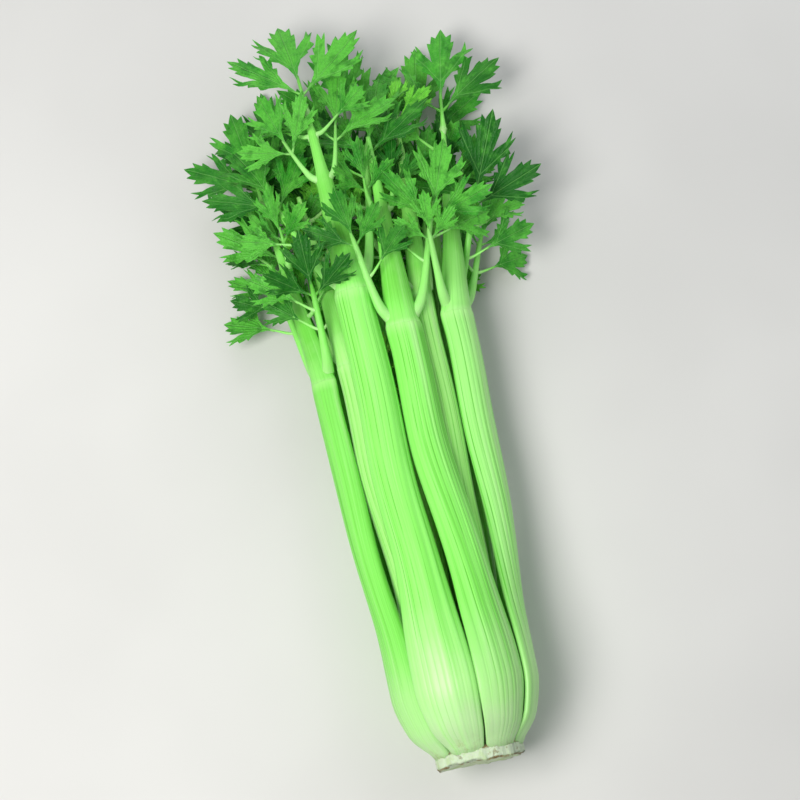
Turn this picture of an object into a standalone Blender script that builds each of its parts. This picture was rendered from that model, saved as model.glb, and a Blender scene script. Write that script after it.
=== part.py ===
"""A cut head of celery, lying on its side.

Metres, +Z up. The head lies along +Y: its cut foot faces -Y and its leaves point to +Y.
A station is a distance along the head from the cut face. Each cross-section of a stalk
lies in a plane of constant station, so stalks that are clear of each other in every such
plane are clear of each other. All shapes are worked out in head space, where X is the
distance across from the head's axis, Y is the station and Z is the height over the table.
The finished head is then slid along the table, until the origin is under its middle.
"""

import math
import random
from dataclasses import dataclass

import bpy
import numpy as np
from mathutils.bvhtree import BVHTree
from mathutils.kdtree import KDTree

GAP = 0.0003

# The crown: the short stem that every stalk grows from, cut off square below them.
CUT_RADIUS = 0.0283
CUT_BEVEL = 0.0018
OUTER_STEP = (0.0202, 0.0078)
INNER_STEP = (0.0117, 0.0162)
HEART_STEP = (0.0028, 0.0240)
BUD_HEIGHT = 0.0095
CROWN_SIDES = 24

# The head is widest at its belly, and rests there on the outer stalk below.
BELLY = 0.052
RISE = 0.016
SETTLED = 0.22
SETTLED_SHARE = 0.75
LAP_END = 0.10
BELLY_RADIUS = 0.0445
TRIM = 0.0008
RIB_SHARE = 0.028
EDGE_THINNING = 0.62
INNER_WALL_PLACES = (0.9, 0.5, 0.0, -0.5, -0.9)

# The leaf above a stalk's first joint.
FAN_OUT = 2.2
SAG = 0.9
SECOND_JOINT = 0.60
BRANCH_ROOT = 0.006
BRANCH_SIDES = 4
RACHIS_RINGS = 6
RACHIS_SKIP = 2
BLADE_THICKNESS = 0.0009
HELD_CLEAR = 0.0011
TRIES = 200
SHRINK = 0.45
CLEAR = 0.0045
FLOOR_CLEAR = 0.0020
LOWEST_LAYER = 0.02


@dataclass(frozen=True)
class Ring:
    """A whorl of stalks. Its long tuples run over the stations of stations_of()."""

    step: tuple
    spread: tuple  # from the axis to the middle of the stalk's wall, where the stalks stand in a ring
    bend: tuple  # radius of the arc that the wall follows in cross-section
    breadth: tuple  # width across the back, for a stalk 1 wide
    wall: tuple  # thickness of the wall at its middle
    lap: float  # how far one edge slides over the next stalk's
    ribs: int
    rings: int
    rachis: float  # length of the leaf's own stem above the joint
    blade: float
    stem: float  # thickness of the branches at the joint


RINGS = {
    "outer": Ring(
        step=OUTER_STEP,
        spread=(0.0248, 0.0376, BELLY_RADIUS, BELLY_RADIUS, BELLY_RADIUS, BELLY_RADIUS, BELLY_RADIUS, BELLY_RADIUS),
        bend=(0.0248, 0.0376, BELLY_RADIUS, 0.0215, 0.0150, 0.0118, 0.0068, 0.0030),
        breadth=(0.72, 1.18, 1.44, 1.01, 0.90, 0.76, 0.36, 0.15),
        wall=(0.0084, 0.0080, 0.0076, 0.0090, 0.0098, 0.0098, 0.0056, 0.0032),
        lap=0.0023,
        ribs=5,
        rings=11,
        rachis=0.138,
        blade=0.070,
        stem=0.0064,
    ),
    "inner": Ring(
        step=INNER_STEP,
        spread=(0.0158, 0.0240, 0.0312, 0.0312, 0.0312, 0.0312, 0.0312, 0.0312),
        bend=(0.0158, 0.0240, 0.0312, 0.0155, 0.0115, 0.0094, 0.0056, 0.0028),
        breadth=(0.76, 1.12, 1.38, 1.06, 0.95, 0.82, 0.48, 0.20),
        wall=(0.0074, 0.0068, 0.0062, 0.0070, 0.0076, 0.0078, 0.0050, 0.0030),
        lap=0.0016,
        ribs=4,
        rings=10,
        rachis=0.126,
        blade=0.060,
        stem=0.0054,
    ),
    "heart": Ring(
        step=HEART_STEP,
        spread=(0.0062, 0.0098, 0.0128, 0.0110, 0.0100, 0.0100, 0.0100, 0.0100),
        bend=(0.0062, 0.0098, 0.0128, 0.0090, 0.0078, 0.0066, 0.0046, 0.0026),
        breadth=(0.66, 1.00, 1.20, 1.05, 1.00, 0.80, 0.50, 0.26),
        wall=(0.0052, 0.0050, 0.0046, 0.0046, 0.0048, 0.0050, 0.0040, 0.0028),
        lap=0.0,
        ribs=3,
        rings=8,
        rachis=0.058,
        blade=0.036,
        stem=0.0036,
    ),
}


@dataclass(frozen=True)
class Stalk:
    """One stalk: where its foot sits round the crown, and where its first joint lies."""

    number: int
    ring: str
    foot_angle: float  # degrees round the axis, from +X towards +Z
    across: float  # the joint's distance across from the axis
    height: float  # the joint's height over the table
    facing: float  # the way that the ribbed back faces at the joint, in degrees
    joint: float  # station of the first joint
    width: float  # across the back, two thirds of the way up


STALKS = (
    Stalk(1, "outer", 160, -0.053, 0.041, 150, 0.270, 0.027),
    Stalk(2, "outer", 108, -0.0205, 0.072, 100, 0.322, 0.028),
    Stalk(3, "outer", 57, 0.009, 0.071, 80, 0.292, 0.027),
    Stalk(4, "outer", 6, 0.051, 0.046, 42, 0.300, 0.030),
    Stalk(5, "outer", -45, 0.038, 0.0050, -66, 0.294, 0.027),
    Stalk(6, "outer", -96, 0.001, 0.0078, -90, 0.312, 0.029),
    Stalk(7, "outer", -147, -0.037, 0.0050, -114, 0.286, 0.028),
    Stalk(8, "inner", 134, -0.034, 0.050, 128, 0.277, 0.021),
    Stalk(9, "inner", 40, 0.027, 0.054, 58, 0.314, 0.020),
    Stalk(10, "inner", -22, 0.040, 0.026, 0, 0.284, 0.019),
    Stalk(11, "inner", -85, 0.013, 0.026, -75, 0.268, 0.020),
    Stalk(12, "inner", -150, -0.021, 0.027, -110, 0.262, 0.021),
    Stalk(13, "heart", 110, -0.007, 0.054, 110, 0.206, 0.014),
    Stalk(14, "heart", -15, 0.009, 0.046, 10, 0.190, 0.013),
    Stalk(15, "heart", 230, -0.006, 0.040, 230, 0.178, 0.013),
)

AXIS_HEIGHT = BELLY_RADIUS + RINGS["outer"].wall[2] / 2 + RIB_SHARE * STALKS[5].width - TRIM


def smooth(places, values, at):
    """A smooth curve through (place, value) pairs that doesn't swing past them, read at one place."""
    if at <= places[0]:
        return values[0]
    if at >= places[-1]:
        return values[-1]
    i = max(k for k in range(len(places) - 1) if places[k] <= at)
    steps = [(values[k + 1] - values[k]) / (places[k + 1] - places[k]) for k in range(len(places) - 1)]

    def slope(k):
        if k == 0 or k == len(steps):
            return steps[min(k, len(steps) - 1)]
        before, after = steps[k - 1], steps[k]
        return 0.0 if before * after <= 0 else 2 * before * after / (before + after)

    run = places[i + 1] - places[i]
    t = (at - places[i]) / run
    rest = 1 - t
    ends = values[i] * (1 + 2 * t) * rest * rest + values[i + 1] * t * t * (3 - 2 * t)
    return ends + run * (slope(i) * t * rest * rest - slope(i + 1) * t * t * rest)


def ease(t):
    """From 0 to 1, flat at both ends."""
    t = min(1.0, max(0.0, t))
    return t * t * (3 - 2 * t)


def foot_of(stalk):
    return RINGS[stalk.ring].step[1] + GAP


def stations_of(stalk):
    """The foot, the end of its flare, the belly, a third and two thirds of the way, the two joints and the tip."""
    foot, run, reach = foot_of(stalk), stalk.joint - BELLY, RINGS[stalk.ring].rachis
    below = (foot, foot + RISE, BELLY, BELLY + 0.33 * run, BELLY + 0.64 * run)
    return below + (stalk.joint, stalk.joint + SECOND_JOINT * reach, stalk.joint + reach)


def across_up(angle):
    """The unit direction at an angle in degrees, in the plane of a cross-section."""
    return np.array([math.cos(math.radians(angle)), math.sin(math.radians(angle))])


def back_middle(stalk, station):
    """Where the middle of a stalk's wall is at a station, as (across, height), and the way that it faces."""
    spread = smooth(stations_of(stalk), RINGS[stalk.ring].spread, station)
    in_ring = np.array([0.0, AXIS_HEIGHT]) + spread * across_up(stalk.foot_angle)
    beyond = max(0.0, station - stalk.joint)
    fan = FAN_OUT * stalk.across * beyond
    sag = SAG * max(0.0, stalk.height - 0.030) * beyond
    lying = np.array([stalk.across + fan, stalk.height - sag])
    early = ease((station - BELLY) / (SETTLED - BELLY))
    late = min(1.0, max(0.0, station - BELLY) / (stalk.joint - BELLY))
    settled = SETTLED_SHARE * early + (1 - SETTLED_SHARE) * late
    turn = (stalk.facing - stalk.foot_angle + 180) % 360 - 180
    return in_ring + (lying - in_ring) * settled, stalk.foot_angle + turn * settled


def wall_point(stalk, station, place, side, rib=0.0):
    """A point of the wall: place runs from -1 to 1 across it, and side is 1 on the back and -1 in the hollow."""
    ring, places = RINGS[stalk.ring], stations_of(stalk)
    middle, facing = back_middle(stalk, station)
    width = stalk.width * smooth(places, ring.breadth, station)
    bend = smooth(places, ring.bend, station)
    wall = smooth(places, ring.wall, station)
    turn = place * math.asin(min(0.97, width / 2 / bend))
    lap = ring.lap * ease((station - places[0]) / 0.02) * (1 - ease((station - BELLY) / LAP_END))
    depth = side * wall / 2 * (1 - EDGE_THINNING * place * place) + lap * place + rib * width
    out, along = across_up(facing), across_up(facing + 90)
    x, z = middle + along * (bend + depth) * math.sin(turn) + out * ((bend + depth) * math.cos(turn) - bend)
    return np.array([x, station, z])


def section(stalk, station):
    """The closed outline of a stalk at a station: along its ribbed back, then along its hollow front."""
    ribs = RINGS[stalk.ring].ribs
    back = [wall_point(stalk, station, -1 + i / ribs, 1, RIB_SHARE * (i % 2)) for i in range(2 * ribs + 1)]
    return back + [wall_point(stalk, station, place, -1) for place in INNER_WALL_PLACES]


def stalk_rings(stalk):
    """Cross-sections from the foot to the joint, closer together near the foot."""
    foot, count = foot_of(stalk), RINGS[stalk.ring].rings
    run = stalk.joint - foot
    return [section(stalk, foot + run * (i / (count - 1)) ** 1.35) for i in range(count)]


def rachis_rings(stalk):
    """Cross-sections of the leaf's own stem, from the joint to its tip."""
    reach, last = RINGS[stalk.ring].rachis, RACHIS_RINGS - 1
    stations = [stalk.joint + GAP + (reach - GAP) * i / last for i in range(RACHIS_RINGS)]
    return [section(stalk, station)[::RACHIS_SKIP] for station in stations]


def lathe(profile, sides):
    """A solid turned about Y at the axis height, from (radius, station) pairs with both ends on the axis."""
    points, faces = [(0.0, profile[0][1], AXIS_HEIGHT)], []
    for radius, station in profile[1:-1]:
        for i in range(sides):
            x, z = radius * across_up(360 * i / sides)
            points.append((x, station, AXIS_HEIGHT + z))
    points.append((0.0, profile[-1][1], AXIS_HEIGHT))
    for i in range(sides):
        follower = (i + 1) % sides
        faces.append((0, 1 + i, 1 + follower))
        for k in range(len(profile) - 3):
            low, high = 1 + k * sides, 1 + (k + 1) * sides
            faces.append((low + i, high + i, high + follower, low + follower))
        last = 1 + (len(profile) - 3) * sides
        faces.append((last + follower, last + i, len(points) - 1))
    return points, faces


def loft(rings):
    """A solid through rings of equally many points, with flat ends."""
    count = len(rings[0])
    points = [p for ring in rings for p in ring]
    faces = [tuple(range(count)), tuple(reversed(range(len(points) - count, len(points))))]
    for k in range(len(rings) - 1):
        for i in range(count):
            follower = (i + 1) % count
            low, high = k * count, (k + 1) * count
            faces.append((low + follower, low + i, high + i, high + follower))
    return points, faces


def unit(v):
    return v / np.linalg.norm(v)


def tube(path, radii, sides):
    """A round stem along a path of points, with a radius at each."""
    path = [np.asarray(p, float) for p in path]
    tangents = [unit(path[min(i + 1, len(path) - 1)] - path[max(i - 1, 0)]) for i in range(len(path))]
    side = unit(np.cross(tangents[0], (0.0, 0.0, 1.0)))
    rings = []
    for centre, tangent, radius in zip(path, tangents, radii):
        side = unit(side - tangent * (side @ tangent))
        up = np.cross(side, tangent)
        angles = [2 * math.pi * k / sides for k in range(sides)]
        rings.append([centre + radius * (side * math.cos(a) + up * math.sin(a)) for a in angles])
    return rings


# A blade 1 long: the turn of each lobe from the midrib in degrees, its reach, and the teeth beside its tip.
SIDE_TEETH = ((6, 0.84), (12, 0.91), (21, 0.66))
MIDDLE_TEETH = ((5, 0.84), (10, 0.92), (18, 0.70))
LOBE_TURN = 48
LOBES = ((-LOBE_TURN, 0.87, SIDE_TEETH), (0, 1.00, MIDDLE_TEETH), (LOBE_TURN, 0.87, SIDE_TEETH))
SINUS = (24, 0.44)
INNER_RING = ((-60, 0.28), (-48, 0.52), (-24, 0.25), (0, 0.58), (24, 0.25), (48, 0.52), (60, 0.28))


def blade_outline():
    """The toothed edge of a three-lobed blade 1 long, as (turn from the midrib in degrees, reach) pairs."""
    edge = []
    for middle, reach, teeth in LOBES:
        edge += [(middle - turn, reach * share) for turn, share in reversed(teeth)]
        edge.append((middle, reach))
        edge += [(middle + turn, reach * share) for turn, share in teeth]
        edge.append((middle + SINUS[0], SINUS[1]))
    return edge[:-1]


OUTLINE = blade_outline()


@dataclass(frozen=True)
class Blade:
    """Where a blade hangs: its root, the way its midrib runs, its face's normal, its length and its bends."""

    root: np.ndarray
    ahead: np.ndarray
    face: np.ndarray
    length: float
    droop: float
    cup: float
    twist: float
    fold: float

    def at(self, turn, reach):
        """The point of the blade's middle surface at a turn from the midrib, in degrees, and a reach of 1 at its tip."""
        u = reach * math.sin(math.radians(turn))
        v = reach * math.cos(math.radians(turn))
        from_rib = min(abs(turn), abs(abs(turn) - LOBE_TURN))
        fold = self.fold * reach * math.sin(math.radians(from_rib))
        lift = -self.droop * v * v + self.cup * u * u + self.twist * u * v + fold
        side = np.cross(self.ahead, self.face)
        return self.root + self.length * (self.ahead * v + side * u + self.face * lift)

    def samples(self):
        inside = [(turn, 0.72 * reach) for turn, reach in OUTLINE[::2]]
        return [self.at(*place) for place in (*OUTLINE, *INNER_RING, *inside)]


def blade_solid(blade, thickness=BLADE_THICKNESS):
    """The blade as a closed solid: a fan to an inner ring, a strip to the toothed edge, and the same below."""
    middle = [blade.at(0, 0)]
    middle += [blade.at(*place) for place in INNER_RING]
    middle += [blade.at(*place) for place in OUTLINE]
    first_edge = 1 + len(INNER_RING)
    top = [(0, i + 1, i + 2) for i in range(len(INNER_RING) - 1)]
    inner, outer = 0, 0
    while inner < len(INNER_RING) - 1 or outer < len(OUTLINE) - 1:
        next_inner = INNER_RING[inner + 1][0] if inner < len(INNER_RING) - 1 else 999
        next_outer = OUTLINE[outer + 1][0] if outer < len(OUTLINE) - 1 else 999
        if next_outer <= next_inner:
            top.append((1 + inner, first_edge + outer, first_edge + outer + 1))
            outer += 1
        else:
            top.append((1 + inner, first_edge + outer, 2 + inner))
            inner += 1
    rim = [0, 1] + list(range(first_edge, first_edge + len(OUTLINE))) + [len(INNER_RING)]
    half = blade.face * thickness / 2
    points = [p + half for p in middle] + [p - half for p in middle]
    below = len(middle)
    faces = [(a, c, b) for a, b, c in top] + [(below + a, below + b, below + c) for a, b, c in top]
    for a, b in zip(rim, rim[1:] + rim[:1]):
        faces.append((a, b, below + b, below + a))
    return points, faces


def bounds(points):
    points = np.asarray(points)
    return points.min(0), points.max(0)


class Room:
    """What has been placed so far, and how clear of it a new piece would be."""

    def __init__(self):
        self.marks = []
        self.solids = []

    def add(self, owner, solids):
        """Keeps closed solids, given as points and faces, that belong to one leaf."""
        for points, faces in solids:
            self.marks += [(point, owner) for point in points]
            tree = BVHTree.FromPolygons([tuple(p) for p in points], faces)
            self.solids.append((owner, *bounds(points), tree))

    def marks_near(self, start, owner, own_from=0.024, reach=0.16):
        """The points that a branch from start has to keep clear of, as a search tree."""
        points = np.array([point for point, _ in self.marks])
        own = np.array([mark[1] == owner for mark in self.marks])
        away = np.linalg.norm(points - start, axis=1)
        near = points[(away < reach) & (~own | (away > own_from))]
        tree = KDTree(len(near))
        for i, point in enumerate(near):
            tree.insert(point, i)
        tree.balance()
        return tree

    def crossed(self, owner, solids):
        """Whether one of these solids crosses a piece of another leaf."""
        for points, faces in solids:
            low, high = bounds(points)
            if low[2] < 0.0:
                return True
            near = [t for who, lo, hi, t in self.solids if who != owner and (lo < high).all() and (hi > low).all()]
            if near:
                tree = BVHTree.FromPolygons([tuple(p) for p in points], faces)
                if any(tree.overlap(other) for other in near):
                    return True
        return False


@dataclass(frozen=True)
class Branch:
    """A stem that leaves the leaf's own stem, and the blade that it carries."""

    path: list
    radii: list
    blade: Blade


def turned(v, axis, angle):
    """v turned about a unit axis by an angle in degrees."""
    a = math.radians(angle)
    return v * math.cos(a) + np.cross(axis, v) * math.sin(a) + axis * (axis @ v) * (1 - math.cos(a))


def make_branch(start, ahead, side, thick, length, blade_length, draw):
    """A branch that leaves start towards side, swings round to run ahead, and ends in a blade."""
    opening, roll, pitch, lift = draw["opening"], draw["roll"], draw["pitch"], draw["lift"]
    run = unit(ahead + side * math.tan(math.radians(opening)) + np.array([0, 0, lift]))
    path = [start]
    for share in (0.16, 0.50, 1.0):
        swing = 1 - math.exp(-9 * share)
        path.append(start + run * length * share + side * swing * 0.9 * thick)
    out = unit(path[-1] - path[-2])
    up = unit(np.array([0, 0, 1.0]) - out * out[2])
    face = turned(up, out, roll)
    dipped = turned(out, unit(np.cross(out, face)), pitch)
    face = turned(face, unit(np.cross(out, face)), pitch)
    bends = [draw[name] for name in ("droop", "cup", "twist", "fold")]
    blade = Blade(path[-1], dipped, face, blade_length, *bends)
    tip = blade.at(0, 0.24) - blade.face * 0.0002
    radii = [thick * r for r in (0.50, 0.45, 0.37, 0.28)]
    return Branch(path + [tip], radii + [0.0008], blade)


def draws(rng, tries, height):
    """Ways to hold a branch and its blade, nearest to the natural way first, and flat where it is low."""
    free = min(1.0, max(0.06, (height - 0.006) / 0.034))
    for k in range(tries):
        wild = 0.35 + 0.65 * k / tries
        yield {
            "opening": rng.uniform(6, 15) + 20 * wild * rng.random(),
            "roll": wild * free * rng.uniform(-55, 55),
            "pitch": wild * rng.uniform(-34 * free, 30),
            "lift": wild * rng.uniform(-0.34 * free, 0.30),
            "tilt": wild * rng.uniform(-50, 50) * max(free, 0.4),
            "droop": rng.uniform(0.02, 0.22) * free,
            "cup": rng.uniform(-0.22 * free, 0.30),
            "twist": rng.uniform(-0.15, 0.15) * free,
            "fold": rng.uniform(-0.30, 0.40) * free,
        }


def branch_solids(branch, clear=0.0):
    """The branch's stem and blade as closed solids, thicker all round by a clearance where one is given."""
    radii = [radius + clear for radius in branch.radii]
    stem = loft(tube(branch.path, radii, BRANCH_SIDES))
    return [stem, blade_solid(branch.blade, BLADE_THICKNESS + 2 * clear)]


def best_branch(room, owner, rng, spot):
    """The first natural way to hold a branch that is clear of everything, or the clearest; None without room."""
    start, ahead, side, thick, length, blade_length = spot
    marks = room.marks_near(start, owner)
    ways = []
    for k, draw in enumerate(draws(rng, TRIES, start[2])):
        smaller = 1 - SHRINK * k / TRIES
        leaning = turned(side, ahead, draw["tilt"])
        branch = make_branch(start, ahead, leaning, thick, length * smaller, blade_length * smaller, draw)
        held = branch.blade.samples() + branch.path[2:]
        if min(p[2] for p in held) < FLOOR_CLEAR:
            continue
        clear = min(marks.find(p)[2] for p in held)
        ways.append((clear, branch))
        if clear > CLEAR and not room.crossed(owner, branch_solids(branch, HELD_CLEAR)):
            break
    else:
        ways.sort(key=lambda way: way[0])
        while ways and room.crossed(owner, branch_solids(ways[-1][1], HELD_CLEAR)):
            ways.pop()
    if not ways:
        return None
    branch = ways[-1][1]
    room.add(owner, branch_solids(branch))
    return branch


def spots_of(stalk, rng):
    """Where a leaf's branches start: the end of its stem, the first joint and the second, on both sides."""
    ring = RINGS[stalk.ring]
    tip = stalk.joint + ring.rachis
    centre = wall_point(stalk, tip - 0.004, 0, 0)
    ahead = unit(centre - wall_point(stalk, stalk.joint, 0, 0))
    right = unit(np.cross(ahead, (0.0, 0.0, 1.0)))
    thick = 1.3 * ring.wall[-1]
    spots = [(centre, ahead, right * 0.05, thick, 0.10 * ring.rachis, ring.blade)]
    joints = [
        (BRANCH_ROOT, ring.stem, 0.60 * ring.rachis, 0.96 * ring.blade),
        (SECOND_JOINT * ring.rachis, 0.68 * ring.stem, 0.20 * ring.rachis, 0.86 * ring.blade),
    ]
    for beyond, thick, length, blade_length in joints[stalk.ring == "heart":]:
        for place in (-0.72, 0.72):
            start = wall_point(stalk, stalk.joint + beyond, place, 0)
            side = unit(start - wall_point(stalk, stalk.joint + beyond, 0, 0))
            grown = length * rng.uniform(0.85, 1.12)
            spots.append((start, ahead, side, thick, grown, blade_length * rng.uniform(0.92, 1.05)))
    return spots


def lay_out_leaves():
    """Each leaf's branches, whorl by whorl: those against the table first, then from the top down."""
    room = Room()
    for stalk in STALKS:
        room.add(stalk.number, [loft(stalk_rings(stalk)), loft(rachis_rings(stalk))])
    leaves = {}
    whorls = list(RINGS)
    for stalk in sorted(STALKS, key=lambda s: (whorls.index(s.ring), s.height > LOWEST_LAYER, -s.height)):
        rng = random.Random(stalk.number)
        found = [best_branch(room, stalk.number, rng, spot) for spot in spots_of(stalk, rng)]
        leaves[stalk.number] = [branch for branch in found if branch]
    return leaves


def material(name, colour, roughness):
    made = bpy.data.materials.new(name)
    made.use_nodes = True
    shader = made.node_tree.nodes["Principled BSDF"]
    shader.inputs["Base Color"].default_value = (*colour, 1.0)
    shader.inputs["Roughness"].default_value = roughness
    shader.inputs["Metallic"].default_value = 0.0
    made.diffuse_color = (*colour, 1.0)
    return made


def mesh_object(name, solid, finish):
    points, faces = solid
    mesh = bpy.data.meshes.new(name)
    mesh.from_pydata([tuple(float(c) for c in p) for p in points], [], faces)
    mesh.materials.append(finish)
    mesh.validate()
    made = bpy.data.objects.new(name, mesh)
    bpy.context.scene.collection.objects.link(made)
    return made


def shade_round(made, degrees):
    made.data.shade_smooth()
    made.data.set_sharp_from_angle(angle=math.radians(degrees))


def apply_modifiers(made):
    graph = bpy.context.evaluated_depsgraph_get()
    baked = bpy.data.meshes.new_from_object(made.evaluated_get(graph))
    made.modifiers.clear()
    made.data = baked


def join_as_one(made, others):
    """Fuses the other objects into made with one union, and removes them."""
    group = bpy.data.collections.new(made.name + "_pieces")
    bpy.context.scene.collection.children.link(group)
    for other in others:
        bpy.context.scene.collection.objects.unlink(other)
        group.objects.link(other)
    union = made.modifiers.new("fuse", "BOOLEAN")
    union.operation = "UNION"
    union.operand_type = "COLLECTION"
    union.collection = group
    union.solver = "EXACT"
    apply_modifiers(made)
    for other in others:
        bpy.data.objects.remove(other)
    bpy.data.collections.remove(group)


def trim_flat(made, floor):
    """Cuts away what a piece has below the table, so that it rests on a flat."""
    if min(v.co.z for v in made.data.vertices) < 0:
        trim = made.modifiers.new("rest_flat", "BOOLEAN")
        trim.operation = "DIFFERENCE"
        trim.solver = "EXACT"
        trim.object = floor
        apply_modifiers(made)


def make_crown(finish):
    """The cut stem, with a step for each whorl of stalks and the growing tip in the middle."""
    profile = [
        (0.0, 0.0),
        (CUT_RADIUS - CUT_BEVEL, 0.0),
        (CUT_RADIUS, CUT_BEVEL),
        (CUT_RADIUS, OUTER_STEP[1]),
        OUTER_STEP,
        (OUTER_STEP[0], INNER_STEP[1]),
        INNER_STEP,
        (INNER_STEP[0], HEART_STEP[1]),
        HEART_STEP,
        (0.0, HEART_STEP[1] + BUD_HEIGHT),
    ]
    crown = mesh_object("crown", lathe(profile, CROWN_SIDES), finish)
    shade_round(crown, 40)
    return crown


def make_stalk(stalk, finish, floor):
    """A fleshy stalk, from its foot on the crown to its first joint."""
    made = mesh_object(f"stalk_{stalk.number:02d}", loft(stalk_rings(stalk)), finish)
    trim_flat(made, floor)
    shade_round(made, 50)
    return made


def make_leaf(stalk, branches, finish, floor):
    """The green top of a stalk: its stem beyond the joint, its branches and its blades, as one body."""
    leaf = mesh_object(f"leaf_{stalk.number:02d}", loft(rachis_rings(stalk)), finish)
    pieces = []
    for branch in branches:
        pieces += [mesh_object("piece", solid, finish) for solid in branch_solids(branch)]
    join_as_one(leaf, pieces)
    trim_flat(leaf, floor)
    shade_round(leaf, 40)
    return leaf


def make_floor():
    """The table, as a guide that the stalks below are cut flat against."""
    corners = [(x, y, z) for z in (-0.03, 0.0) for x, y in ((-0.3, -0.1), (0.3, -0.1), (0.3, 0.8), (-0.3, 0.8))]
    faces = [(3, 2, 1, 0), (4, 5, 6, 7)]
    faces += [(i, (i + 1) % 4, (i + 1) % 4 + 4, i + 4) for i in range(4)]
    floor = mesh_object("floor_cutter", (corners, faces), None)
    floor.hide_render = True
    floor.display_type = "WIRE"
    return floor


def centre_over_origin(made):
    """Slides every mesh along the table, so that the origin is under the middle of the head."""
    every = np.array([tuple(v.co) for m in made for v in m.data.vertices])
    middle = (every.min(0) + every.max(0)) / 2
    for m in made:
        for v in m.data.vertices:
            v.co.x -= middle[0]
            v.co.y -= middle[1]


def main():
    for old in list(bpy.data.objects):
        bpy.data.objects.remove(old)
    flesh = {
        "outer": material("stalk_green", (0.33, 0.72, 0.16), 0.42),
        "inner": material("stalk_pale", (0.50, 0.80, 0.26), 0.42),
        "heart": material("stalk_heart", (0.66, 0.82, 0.34), 0.45),
    }
    foliage = {
        "outer": material("leaf_green", (0.07, 0.36, 0.04), 0.5),
        "inner": material("leaf_light", (0.11, 0.45, 0.05), 0.5),
        "heart": material("leaf_heart", (0.40, 0.62, 0.10), 0.5),
    }
    crown = make_crown(material("crown_flesh", (0.68, 0.70, 0.48), 0.6))
    floor = make_floor()
    leaves = lay_out_leaves()
    made = [crown]
    for stalk in STALKS:
        made.append(make_stalk(stalk, flesh[stalk.ring], floor))
        made.append(make_leaf(stalk, leaves[stalk.number], foliage[stalk.ring], floor))
    bpy.data.objects.remove(floor)
    centre_over_origin(made)


main()
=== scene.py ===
"""The look of a cut head of celery that lies on a pale table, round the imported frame.

The stalks, the leaf stems and the blades are laid out by the same rules as in the part's
source, in head space: X across from the head's axis, Y along it from the cut, Z over the
table. The finer surfaces are then built over that layout and slid to where the crown is.
"""

import math
import random
from dataclasses import dataclass

import bpy
import numpy as np
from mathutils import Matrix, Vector
from mathutils.bvhtree import BVHTree
from mathutils.geometry import delaunay_2d_cdt
from mathutils.kdtree import KDTree


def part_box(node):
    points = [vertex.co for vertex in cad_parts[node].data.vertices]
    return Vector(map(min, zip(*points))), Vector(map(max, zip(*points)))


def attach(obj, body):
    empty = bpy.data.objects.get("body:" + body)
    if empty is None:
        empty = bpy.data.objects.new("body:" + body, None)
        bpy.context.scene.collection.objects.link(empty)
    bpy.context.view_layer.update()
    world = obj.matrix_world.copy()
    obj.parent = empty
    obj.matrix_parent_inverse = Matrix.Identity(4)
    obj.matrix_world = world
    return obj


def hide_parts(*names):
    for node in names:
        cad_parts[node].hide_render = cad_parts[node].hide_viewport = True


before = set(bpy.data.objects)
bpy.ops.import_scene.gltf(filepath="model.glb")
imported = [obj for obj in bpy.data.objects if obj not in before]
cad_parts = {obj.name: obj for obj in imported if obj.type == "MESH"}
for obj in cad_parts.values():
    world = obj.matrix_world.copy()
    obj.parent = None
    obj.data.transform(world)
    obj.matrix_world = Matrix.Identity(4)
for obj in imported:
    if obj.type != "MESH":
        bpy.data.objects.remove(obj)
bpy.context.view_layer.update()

# Left between two solids that would touch.
GAP = 0.0003

# The crown: the short stem that every stalk grows from, cut off square below them.
CUT_RADIUS = 0.0283
CUT_BEVEL = 0.0018
OUTER_STEP = (0.0202, 0.0078)
INNER_STEP = (0.0117, 0.0162)
HEART_STEP = (0.0028, 0.0240)
BUD_HEIGHT = 0.0095
CROWN_SIDES = 120

# The head is widest at its belly, and rests there on the outer stalk below.
BELLY = 0.052
RISE = 0.016
SETTLED = 0.22
SETTLED_SHARE = 0.75
LAP_END = 0.10
BELLY_RADIUS = 0.0445
TRIM = 0.0008
RIB_SHARE = 0.028
EDGE_THINNING = 0.62
INNER_WALL_PLACES = (0.9, 0.5, 0.0, -0.5, -0.9)

# The leaf above a stalk's first joint, with further joints at shares of its own stem.
FAN_OUT = 2.2
SAG = 0.9
SAG_FROM = 0.030
SECOND_JOINT = 0.60
THIRD_JOINT = 0.84
BRANCH_ROOT = 0.006
BRANCH_PLACE = 0.72
BRANCH_TAPER = (0.50, 0.45, 0.37, 0.28)
BRANCH_END = 0.0008
BRANCH_SIDES = 4
RACHIS_RINGS = 6
RACHIS_SKIP = 2
BLADE_THICKNESS = 0.0009
HELD_CLEAR = 0.0011
FLOOR_CLEAR = 0.0020
LOWEST_LAYER = 0.02

# Small leaflets: their share of a blade's length, and where their pairs stand along branches and leaf stems.
SMALL_SHARE = 0.56
SMALL_PLACE = 0.8
LONG_BRANCH = 0.35
BRANCH_PAIRS = ((0.56, 0.9), (0.82, 1.1))
STEM_PAIRS = (0.34, THIRD_JOINT)


@dataclass(frozen=True)
class Search:
    """How a branch looks for room."""

    tries: int
    shrink: float  # how much smaller the last try is
    clear: float  # from what was placed before
    own_from: float  # what is nearer on its own leaf doesn't count
    reach: float
    small: bool


LARGE = Search(200, 0.45, 0.0045, 0.024, 0.16, False)
SMALL = Search(50, 0.40, 0.003, 0.012, 0.07, True)


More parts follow.
